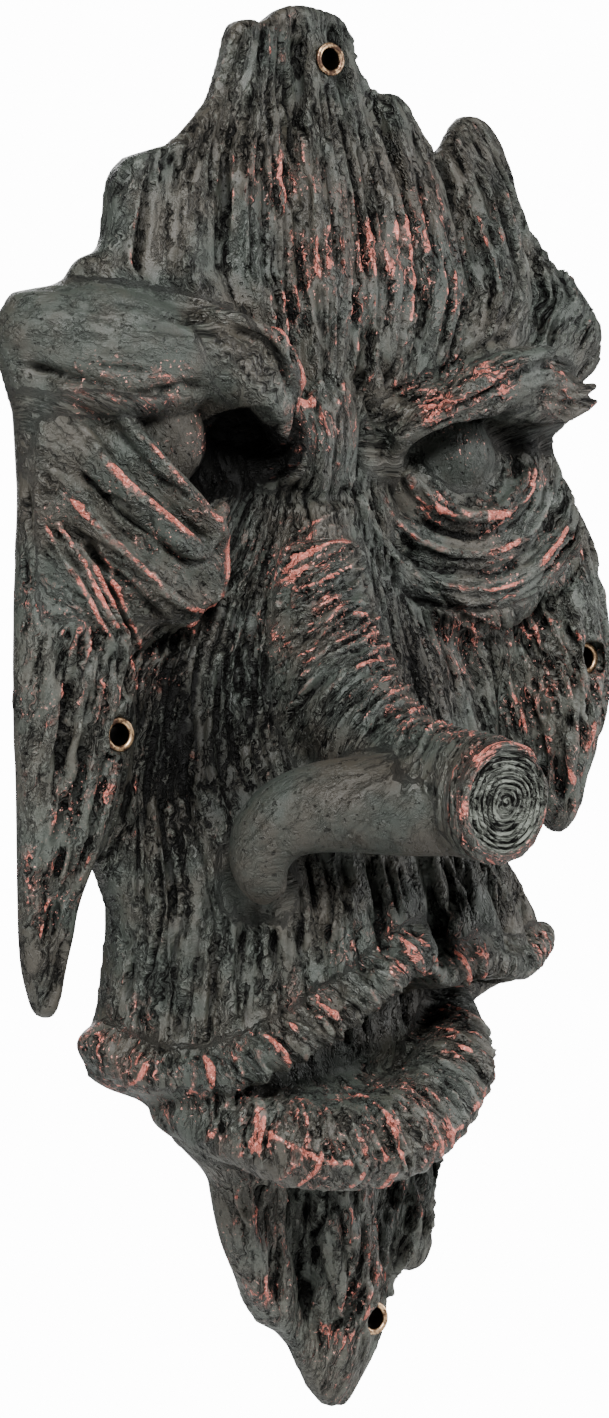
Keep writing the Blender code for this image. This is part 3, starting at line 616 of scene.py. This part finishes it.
# Where the brush carried copper, and where painted shade or the pale dry brush lies thicker: (across,
# up, radius, strength), a place of painted shade being negative.
COPPER_PATCHES = [
    (-18, 145, 14, 0.8), (-5, 142, 12, 0.7), (0, 124, 18, 1.1), (31, 140, 14, 0.8), (14, 127, 18, 1.1),
    (36, 124, 14, 0.9), (-15, 114, 12, 0.7), (-10, 106, 10, 0.5), (-14, 188, 12, 0.5), (52, 140, 12, 0.5),
    (-9, 79, 12, 1.0), (-95, 112, 9, 0.5), (-82, 87, 8, 1.3), (-64, 88, 8, 1.3), (-31, 103, 6, 1.0),
    (-21, 93, 7, 1.0), (-18, 81, 7, 0.9), (-48, 76, 7, 1.3), (-60, 60, 6, 0.7), (-42, 52, 7, 1.0),
    (-80, 62, 8, 0.7), (-64, 47, 9, 0.9), (-89, 54, 8, 0.8), (-73, 32, 12, 0.72), (-95, 28, 11, 0.72),
    (-82, 22, 10, 0.72), (-78, 4, 8, 0.72), (-99, 2, 10, 0.72), (-95, -50, 14, 0.99), (-90, -26, 12, 0.81),
    (-57, 40, 6, 0.8), (-58, 12, 9, 0.8), (-76, -22, 12, 0.81), (-17, 40, 12, 1.1), (-14, 28, 11, 1.0),
    (-26, 20, 9, 0.8), (-5, 18, 11, 1.0), (-2, 2, 11, 1.1), (4, -6, 10, 1.0),
    (25, 87, 8, 1.2), (41, 92, 9, 1.2), (71, 93, 9, 1.0), (87, 90, 8, 0.9), (43, 74, 8, 1.1),
    (30, 57, 8, 1.0), (54, 54, 9, 1.0), (70, 64, 8, 1.0), (57, 35, 10, 1.1), (80, 44, 9, 1.1),
    (48, 20, 11, 1.2), (63, 18, 11, 1.1), (78, 20, 10, 1.1), (72, 2, 10, 1.0), (82, 4, 10, 1.0),
    (95, 17, 9, 0.9), (84, -26, 10, 0.8), (-72, -91, 12, 0.95), (-66, -99, 9, 0.95),
    (-54, -97, 9, 0.77), (-43, -90, 9, 0.77), (-29, -78, 9, 0.86), (-17, -68, 9, 0.86),
    (-3, -63, 9, 0.95), (7, -70, 8, 0.77), (21, -68, 9, 0.77), (66, -64, 9, 0.77),
    (-54, -107, 9, 0.95), (-43, -114, 9, 0.86), (-30, -114, 10, 0.86), (-14, -110, 10, 0.77),
    (0, -106, 10, 0.77), (24, -92, 9, 0.77), (-30, -124, 10, 0.86), (-8, -124, 10, 0.77),
    (10, -118, 10, 0.77), (26, -106, 9, 0.69), (-26, -146, 9, 0.9), (-20, -162, 9, 0.9),
    (-24, -130, 9, 0.9), (6, -146, 10, 1.2), (10, -164, 10, 1.1), (1, -176, 9, 1.0),
    (27, -138, 8, 0.7), (7, -192, 8, 0.7),
    (-38, -50, 6, 0.4), (90, -5, 11, 1.1), (82, -14, 10, 1.1), (93, 7, 9, 1.1), (72, -20, 9, 0.9),
    (-62, 68, 6, 0.9), (-52, 57, 6, 0.9), (-41, 40, 6, 0.9), (-45, 26, 7, 0.9),
]
# Negative patches are painted shade, as in the left hood under the bag and the wing; positive ones are
# pale dry brush that also stands for painted light on the lit flaps, beard and ends.
SHADE_AND_PALE_PATCHES = [
    (-48, -14, 26, -0.95), (-20, 0, 14, -0.3), (-30, -48, 26, -0.25), (24, 10, 20, -0.7),
    (38, -30, 24, -0.5), (0, -52, 22, -0.3), (-30, 66, 12, -1.0), (66, 76, 10, -0.8),
    (0, -96, 22, -0.3), (26, -86, 10, -0.6),
    (-60, 140, 20, 0.4), (-92, 10, 26, 0.8), (-94, -30, 24, 1.1), (86, 8, 30, 1.6), (-84, 96, 16, 0.5),
    (0, -155, 34, 1.7), (3, -25, 16, 1.2), (-30, 96, 12, 0.6), (50, 92, 24, 0.6), (-40, -112, 20, 0.5),
    (20, -110, 24, 0.4), (80, -20, 16, 0.5), (6, -190, 14, 0.5),
]
# The painted shade of the left socket, in the same way.
SOCKET_SHADE = [(-35, 71, 12, 1.0), (-27, 74, 11, 1.0), (-41, 64, 7, 1.0)]


def brushed_on(places, patches, start):
    """The strongest patch at each place, over a starting amount."""
    amount = np.full(len(places), float(start))
    for x, z, radius, strength in patches:
        gap = np.hypot(places[:, 0] - x, places[:, 2] - z) / radius
        here = strength * np.exp(-0.7 * gap ** 2)
        amount = np.where(np.abs(here) > np.abs(amount), here, amount)
    return amount


# How little grain each form shows, and the painted shade of the forms that have some of their own.
BARENESS = {"wing": 1.0, "left_eyeball": 1.0, "right_eyeball": 1.0, "left_brow": 0.8, "left_bag": 0.4}
FORM_SHADES = {"wing": -0.35, "left_eyeball": -0.55, "right_eyeball": -0.55}
across = np.zeros(len(places))
along = np.zeros(len(places))
bare = np.zeros(len(places))
for form in forms:
    chief = form["share"] > 0.5
    across[chief] = form["across"][chief]
    along[chief] = form["along"][chief]
    bare = np.maximum(bare, BARENESS.get(form["name"], 0) * form["share"])


def store(mesh, name, columns):
    """Keeps three numbers for each point of the mesh."""
    layer = mesh.attributes.new(name, "FLOAT_VECTOR", "POINT")
    layer.data.foreach_set("vector", np.column_stack(columns).astype(np.float32).ravel())


GRAIN_UNIT = 4
FINE_GAIN = 3.0
BROAD_SPAN = 2.5
store(casting.data, "grain", (across / GRAIN_UNIT, along / GRAIN_UNIT, places[:, 1] / GRAIN_UNIT))
# The collar of bark round the sawn end is brushed all round.
collar = step(radius, 13.2, 14.2) * step(radius, 19, 16.5) * step(places[:, 1], -83, -87)
brushed = np.maximum(brushed_on(places, COPPER_PATCHES, 0.12), 1.2 * collar)
brushed = brushed * (1 - sawn * step(radius, 14, 13))
# The brush and the tool stayed off the back.
brushed *= step(places[:, 1], -0.5, -2.5)
bare = np.maximum(bare, step(places[:, 1], -1.0, -0.2))
# The relief heights also set the painted shade in the hollows.
fine_height, broad_height = np.clip(fine * FINE_GAIN, -1, 1), np.clip(broad / BROAD_SPAN, -1, 1)
store(casting.data, "wear", (brushed, fine_height, broad_height))
# The tone: painted shade where it is negative, in the patches, on the wing and the eyeballs and, much
# darker, in the left socket; pale dry brush and painted light where it is positive.
tone = brushed_on(places, SHADE_AND_PALE_PATCHES, 0)
for name, shade in FORM_SHADES.items():
    share = next(form["share"] for form in forms if form["name"] == name)
    tone = tone * (1 - share) + shade * share
in_socket = step(places[:, 1], -26, -22) * (brushed_on(places, SOCKET_SHADE, 0) > 0.5)
store(casting.data, "finish", (bare, tone - 2 * in_socket, np.clip(worked * calm, -1, 1)))
store(casting.data, "sawn", [sawn * step(radius, 14, 13.2)] * 3)
triangles = sum(len(face.vertices) - 2 for face in casting.data.polygons)
with_modifier(casting, "DECIMATE", ratio=min(1, CASTING_TRIANGLES / triangles))
write(casting.data, np.clip(read(casting.data)[0], np.array(cad_low) / MM, np.array(cad_high) / MM))
casting.data.shade_smooth()


def new_material(name):
    """A material, its shader and a short way to add its nodes."""
    made = bpy.data.materials.new(name)
    made.use_nodes = True
    tree = made.node_tree

    def add(kind, settings=None, **inputs):
        node = tree.nodes.new("ShaderNode" + kind)
        for key, value in (settings or {}).items():
            setattr(node, key, value)
        for key, value in inputs.items():
            socket = node.inputs[int(key[1:])] if key[1:].isdigit() else node.inputs[key.replace("_", " ")]
            if isinstance(value, bpy.types.NodeSocket):
                tree.links.new(value, socket)
            else:
                socket.default_value = value
        return node

    return made, tree, tree.nodes["Principled BSDF"], add


def calculate(add, operation, *values):
    """One Math node's result."""
    inputs = {"i%d" % k: value for k, value in enumerate(values)}
    return add("Math", dict(operation=operation), **inputs).outputs[0]


def total(add, *parts):
    """The sum of (value, weight) pairs."""
    result = calculate(add, "MULTIPLY", *parts[0])
    for value, weight in parts[1:]:
        result = calculate(add, "MULTIPLY_ADD", value, weight, result)
    return result


def ramp(add, factor, low, high):
    """The factor stretched so that low gives 0 and high gives 1."""
    settings = dict(interpolation_type="SMOOTHSTEP")
    return add("MapRange", settings, Value=factor, From_Min=low, From_Max=high).outputs[0]


def mix(add, factor, first, second):
    """Two colours mixed by the factor."""
    return add("Mix", dict(data_type="RGBA"), i0=factor, i6=first, i7=second).outputs[2]


# The black of painted shade, also used for the cracks and pits.
SHADE_AND_CRACK_BLACK = (0.0015, 0.0015, 0.0013, 1)
GREEN_RESIN = (0.0185, 0.0235, 0.0185, 1)
WARM_RESIN = (0.026, 0.0225, 0.016, 1)
# The pale dry brush, which on the flaps, beard and ends also stands for painted light.
PALE_BRUSHING = (0.085, 0.092, 0.078, 1)
SAWN_RESIN = (0.115, 0.125, 0.105, 1)
COPPER_PAINT = (0.30, 0.082, 0.06, 1)
BRIGHT_COPPER = (0.66, 0.29, 0.235, 1)
THIN_COPPER = (0.10, 0.036, 0.026, 1)
COPPER_STARTS = 0.96

resin, resin_tree, resin_shader, add = new_material("bronze_green_resin_drybrushed")
grain = add("Attribute", dict(attribute_name="grain")).outputs["Vector"]
copper, fine_height, broad_height = add(
    "SeparateXYZ", Vector=add("Attribute", dict(attribute_name="wear")).outputs["Vector"]).outputs
bare, tone, worked = add(
    "SeparateXYZ", Vector=add("Attribute", dict(attribute_name="finish")).outputs["Vector"]).outputs
sawn = add("Attribute", dict(attribute_name="sawn")).outputs["Fac"]
place = add("TexCoord").outputs["Object"]
textured = calculate(add, "SUBTRACT", 1.0, calculate(add, "MULTIPLY", bare, 0.75))

# Lips and cracks of the bark, along the contours of a noise that is drawn out with the grain.
sway = add("TexNoise", Vector=grain, Scale=1.1, Detail=2.0).outputs["Color"]
swaying = dict(operation="MULTIPLY_ADD")
swayed = add("VectorMath", swaying, i0=sway, i1=(1.4, 1.4, 1.4), i2=grain).outputs[0]
breaks = add("Mapping", Vector=grain, Scale=(0.9, 0.4, 0.9)).outputs[0]
shown = ramp(add, add("TexNoise", Vector=breaks, Scale=1.0, Detail=3.0).outputs[0], 0.38, 0.50)
shown = calculate(add, "MULTIPLY", shown, textured)


def contour(add, value, level, width):
    """1 along the line where the value passes the level, and 0 from the width on."""
    gap = calculate(add, "ABSOLUTE", calculate(add, "SUBTRACT", value, level))
    return calculate(add, "MULTIPLY", ramp(add, gap, width, 0.25 * width), shown)


plate_grain = add("Mapping", Vector=swayed, Scale=(0.75, 0.1, 0.35)).outputs[0]
plates = add("TexNoise", Vector=plate_grain, Scale=1.0, Detail=4.0, Roughness=0.55).outputs[0]
lips = contour(add, plates, 0.535, 0.035)
cracks = contour(add, plates, 0.475, 0.035)
thread_grain = add("Mapping", Vector=swayed, Scale=(2.0, 0.22, 0.9)).outputs[0]
threads = add("TexNoise", Vector=thread_grain, Scale=1.0, Detail=3.0, Roughness=0.6).outputs[0]
fine_lips = contour(add, threads, 0.55, 0.05)
fine_cracks = contour(add, threads, 0.46, 0.05)
speckle = add("TexNoise", Vector=place, Scale=900.0, Detail=3.0, Roughness=0.75).outputs[0]
pits = ramp(add, add("TexNoise", Vector=place, Scale=480.0, Detail=2.0).outputs[0], 0.36, 0.28)
mottle = add("TexNoise", Vector=place, Scale=38.0, Detail=4.0, Roughness=0.6).outputs[0]
patch = add("TexNoise", Vector=place, Scale=90.0, Detail=4.0, Roughness=0.65).outputs[0]

# Copper catches on what is raised, where the brush went and in small dabs.
burr = ramp(add, worked, 0.22, 0.9)
gouge = ramp(add, worked, -0.12, -0.8)
raised = total(add, (burr, 0.85), (fine_height, 0.35), (lips, 0.55), (fine_lips, 0.3),
               (broad_height, 0.15), (speckle, 0.6))
dabs = add("TexNoise", Vector=place, Scale=330.0, Detail=3.0, Roughness=0.6).outputs[0]
brushed = calculate(add, "MULTIPLY", copper, ramp(add, patch, 0.34, 0.54))
dabbing = add("MapRange", Value=dabs, From_Min=0.4, From_Max=0.6, To_Min=0.1, To_Max=0.45).outputs[0]
reach = calculate(add, "ADD", brushed, dabbing)
over = calculate(add, "SUBTRACT", calculate(add, "MULTIPLY", raised, reach), COPPER_STARTS)
paint = ramp(add, over, 0.0, 0.16)
haze = ramp(add, over, -0.5, 0.05)
flecks = calculate(add, "MULTIPLY", ramp(add, speckle, 0.62, 0.68), ramp(add, brushed, 0.35, 0.9))
paint = calculate(add, "MAXIMUM", paint, calculate(add, "MULTIPLY", flecks, 0.9))
copper_tone = mix(add, ramp(add, speckle, 0.52, 0.70), COPPER_PAINT, BRIGHT_COPPER)

# Rings round the pith of the sawn end.
flat_place = add("VectorMath", dict(operation="MULTIPLY"), i0=place, i1=(1, 0, 1)).outputs[0]
pith = (NOSE_END[0] * MM, 0, NOSE_END[1] * MM)
from_pith = add("VectorMath", dict(operation="DISTANCE"), i0=flat_place, i1=pith).outputs["Value"]
ring_sway = add("TexNoise", Vector=place, Scale=110.0, Detail=3.0).outputs[0]
ring_turn = total(add, (from_pith, 2 * math.pi / (RING_SPACING * MM)), (ring_sway, 13.0))
rings = ramp(add, calculate(add, "SINE", ring_turn), -0.1, 0.7)
rings = calculate(add, "MULTIPLY", rings, ramp(add, patch, 0.36, 0.5))

# The resin: mottled, paler where it is brushed, and black and dull where painted shade lies in the
# hollows, with its dark cracks, pits and rings.
body = mix(add, ramp(add, mottle, 0.38, 0.62), GREEN_RESIN, WARM_RESIN)
# Pale dry brushing on what is raised, and where the tone is positive, where it also stands for painted
# light.
pale_brush_and_light = total(add, (ramp(add, raised, 0.5, 1.4), 0.5), (ramp(add, tone, 0.0, 1.6), 0.4))
pale_brush_and_light = calculate(add, "MULTIPLY", pale_brush_and_light, ramp(add, speckle, 0.36, 0.56))
body = mix(add, pale_brush_and_light, body, PALE_BRUSHING)
body = mix(add, calculate(add, "MULTIPLY", sawn, 0.9), body, SAWN_RESIN)
# Painted shade: the hollows of the relief and the shaded places of the tone turn black, together with the
# cracks, pits, gouges and growth rings; the sheen is made duller there too.
shade_and_dark_marks = total(add, (gouge, 0.2), (cracks, 0.5), (fine_cracks, 0.45),
               (ramp(add, fine_height, 0.0, -0.7), 0.35), (ramp(add, broad_height, 0.0, -0.8), 0.32),
               (pits, 0.45), (ramp(add, tone, 0.0, -1.4), 1.0))
shade_and_dark_marks = calculate(add, "MULTIPLY_ADD", calculate(add, "MULTIPLY", rings, sawn), 0.75, shade_and_dark_marks)
shade_and_dark_marks = calculate(add, "MINIMUM", shade_and_dark_marks, 1.0)
body = mix(add, shade_and_dark_marks, body, SHADE_AND_CRACK_BLACK)
body = mix(add, calculate(add, "MULTIPLY", haze, 0.45), body, THIN_COPPER)
resin_tree.links.new(mix(add, paint, body, copper_tone), resin_shader.inputs["Base Color"])
rough = add("MapRange", Value=patch, From_Min=0.3, From_Max=0.7, To_Min=0.48, To_Max=0.7).outputs[0]
resin_tree.links.new(rough, resin_shader.inputs["Roughness"])
sheen = add("MapRange", Value=shade_and_dark_marks, To_Min=0.4, To_Max=0.06).outputs[0]
resin_tree.links.new(sheen, resin_shader.inputs["Specular IOR Level"])
relief = total(add, (lips, 0.5), (cracks, -0.9), (fine_lips, 0.25), (fine_cracks, -0.45), (speckle, 0.35),
               (pits, -0.5), (mottle, 0.8))
relief = calculate(add, "MULTIPLY_ADD", calculate(add, "MULTIPLY", rings, sawn), -0.5, relief)
bump = add("Bump", Height=relief, Strength=1.0, Distance=0.001)
resin_tree.links.new(bump.outputs[0], resin_shader.inputs["Normal"])
casting.data.materials.clear()
casting.data.materials.append(resin)
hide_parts("face")
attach(casting, "root")

# The eyelets
# Four small brass eyelets for nails. Each is a tube pressed into a drilled hole, with a rolled flange
# that sits in a spot-faced seat in the resin. The paint round them has dulled the metal.

EYELET_BORE = 3.0
EYELET_WALL = 0.6
EYELET_FLANGE = 1.1
FLANGE_THICKNESS = 0.9
FLANGE_ROUNDING = 0.45
EYELET_SIDES = 64
BRIGHT_BRASS = (0.50, 0.33, 0.19, 1)
TARNISH = (0.07, 0.04, 0.028, 1)
# The inside of the bore is coloured near black.
DARK_BORE = (0.012, 0.009, 0.007, 1)

brass, brass_tree, brass_shader, add = new_material("worn_eyelet_brass")
place = add("TexCoord").outputs["Object"]
tarnish = add("TexNoise", Vector=place, Scale=420.0, Detail=4.0, Roughness=0.65).outputs[0]
tone = mix(add, ramp(add, tarnish, 0.40, 0.58), TARNISH, BRIGHT_BRASS)
in_bore = add("Attribute", dict(attribute_name="in_bore")).outputs["Fac"]
brass_tree.links.new(mix(add, in_bore, tone, DARK_BORE), brass_shader.inputs["Base Color"])
brass_tree.links.new(add("MapRange", Value=tarnish, To_Min=0.55, To_Max=0.3).outputs[0],
                     brass_shader.inputs["Roughness"])
brass_shader.inputs["Metallic"].default_value = 1.0
scratches = add("Bump", Height=tarnish, Strength=0.3, Distance=0.0002)
brass_tree.links.new(scratches.outputs[0], brass_shader.inputs["Normal"])

# Each eyelet is turned from its section: the radii and depths run from the bore's far end, along the
# outside of the tube and round the flange, to the bore's front.
for name, (across, up) in zip(EYELETS, EYELET_AXES):
    low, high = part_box(name)
    bore, outer = EYELET_BORE, EYELET_BORE + EYELET_WALL
    rim, front, back = outer + EYELET_FLANGE, -low.y / MM, -high.y / MM
    under = front - FLANGE_THICKNESS
    profile = [(bore, back), (outer, back), (outer, under), (rim - 0.2, under)]
    for turn in (-45, 0, 45, 90):
        outward = FLANGE_ROUNDING * math.cos(math.radians(turn))
        forward = FLANGE_ROUNDING * math.sin(math.radians(turn))
        profile.append((rim - FLANGE_ROUNDING + outward, front - FLANGE_ROUNDING + forward))
    profile += [(outer + 0.1, front), (bore + 0.35, front - 0.15), (bore, front - 0.6)]
    bpy.ops.object.select_all(action="DESELECT")
    bpy.ops.mesh.primitive_circle_add(vertices=EYELET_SIDES, radius=bore * MM,
                                      rotation=(math.pi / 2, 0, 0),
                                      location=(across * MM, -back * MM, up * MM))
    eyelet = bpy.context.object
    eyelet.name = name + "_brass"
    bpy.ops.object.transform_apply(location=True, rotation=True, scale=True)
    bpy.ops.object.mode_set(mode="EDIT")
    bpy.ops.mesh.select_all(action="SELECT")
    for (old_radius, old_depth), (radius, depth) in zip(profile, profile[1:]):
        bpy.ops.mesh.extrude_edges_move()
        grow = radius / old_radius
        bpy.ops.transform.resize(value=(grow, 1, grow), center_override=(across * MM, 0, up * MM))
        bpy.ops.transform.translate(value=(0, (old_depth - depth) * MM, 0))
    bpy.ops.mesh.select_all(action="DESELECT")
    bpy.ops.mesh.select_non_manifold()
    bpy.ops.mesh.bridge_edge_loops()
    bpy.ops.mesh.select_all(action="SELECT")
    bpy.ops.mesh.normals_make_consistent(inside=False)
    bpy.ops.object.mode_set(mode="OBJECT")
    bpy.ops.object.shade_smooth_by_angle(angle=math.radians(50))
    bore_layer = eyelet.data.attributes.new("in_bore", "FLOAT", "POINT")
    for point, bore_value in zip(eyelet.data.vertices, bore_layer.data):
        from_axis = math.hypot(point.co.x / MM - across, point.co.z / MM - up)
        bore_value.value = float(from_axis < bore + 0.1)
    eyelet.data.materials.append(brass)
    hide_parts(name)
    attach(eyelet, "root")

# The floor, the light and the camera
# A pale floor well under the hanging piece, a large soft lamp above the front, and three weak ones that
# fill the sides and the back. The camera stands at eye level, to the left of the face.

FLOOR_RADIUS = 1.0
FLOOR_HEIGHT = -0.45
bpy.ops.object.select_all(action="DESELECT")
bpy.ops.mesh.primitive_circle_add(vertices=96, radius=FLOOR_RADIUS, fill_type="NGON",
                                  location=(0, 0, FLOOR_HEIGHT))
floor = bpy.context.object
floor.name = "pale_floor"
floor_paint, _, floor_shader, _ = new_material("pale_floor_paint")
floor_shader.inputs["Base Color"].default_value = (0.8, 0.8, 0.79, 1)
floor_shader.inputs["Roughness"].default_value = 0.7
floor.data.materials.append(floor_paint)

# Each lamp: its place and width in metres, and its power in watts.
for name, location, size, power in (
    ("key_lamp", (-0.45, -1.25, 1.0), 0.5, 78),
    ("left_fill_lamp", (-1.5, -0.2, 0.2), 0.8, 17),
    ("right_fill_lamp", (1.4, -0.7, 0.2), 0.8, 30),
    ("back_fill_lamp", (0.5, 1.5, 0.6), 0.8, 30),
):
    lamp_data = bpy.data.lights.new(name, "AREA")
    lamp_data.energy = power
    lamp_data.size = size
    lamp = bpy.data.objects.new(name, lamp_data)
    lamp.location = location
    lamp.rotation_mode = "QUATERNION"
    lamp.rotation_quaternion = (-Vector(location)).to_track_quat("-Z", "Y")
    bpy.context.scene.collection.objects.link(lamp)

# The sky lights the piece weakly, but the camera sees it as white.
SKY_LIGHT = 0.25
SKY_SEEN = 14.0
world = bpy.data.worlds.new("white_studio")
bpy.context.scene.world = world
world.use_nodes = True
sky = world.node_tree
background = sky.nodes["Background"]
background.inputs["Color"].default_value = (1, 1, 1, 1)
seen = sky.nodes.new("ShaderNodeLightPath")
strength = sky.nodes.new("ShaderNodeMapRange")
strength.inputs["To Min"].default_value = SKY_LIGHT
strength.inputs["To Max"].default_value = SKY_SEEN
sky.links.new(seen.outputs["Is Camera Ray"], strength.inputs["Value"])
sky.links.new(strength.outputs[0], background.inputs["Strength"])

CAMERA_AZIMUTH = math.radians(-35)
CAMERA_DISTANCE = 1.2
PHOTO_FOCAL_PIXELS = 4224
PHOTO_HEIGHT = 1418
camera_data = bpy.data.cameras.new("camera")
camera_data.sensor_width = 36
camera_data.lens = PHOTO_FOCAL_PIXELS / PHOTO_HEIGHT * camera_data.sensor_width
camera = bpy.data.objects.new("camera", camera_data)
toward = Vector((math.sin(CAMERA_AZIMUTH), -math.cos(CAMERA_AZIMUTH), 0))
camera.location = toward * CAMERA_DISTANCE
camera.rotation_mode = "QUATERNION"
camera.rotation_quaternion = (-toward).to_track_quat("-Z", "Y")
bpy.context.scene.collection.objects.link(camera)
bpy.context.scene.camera = camera
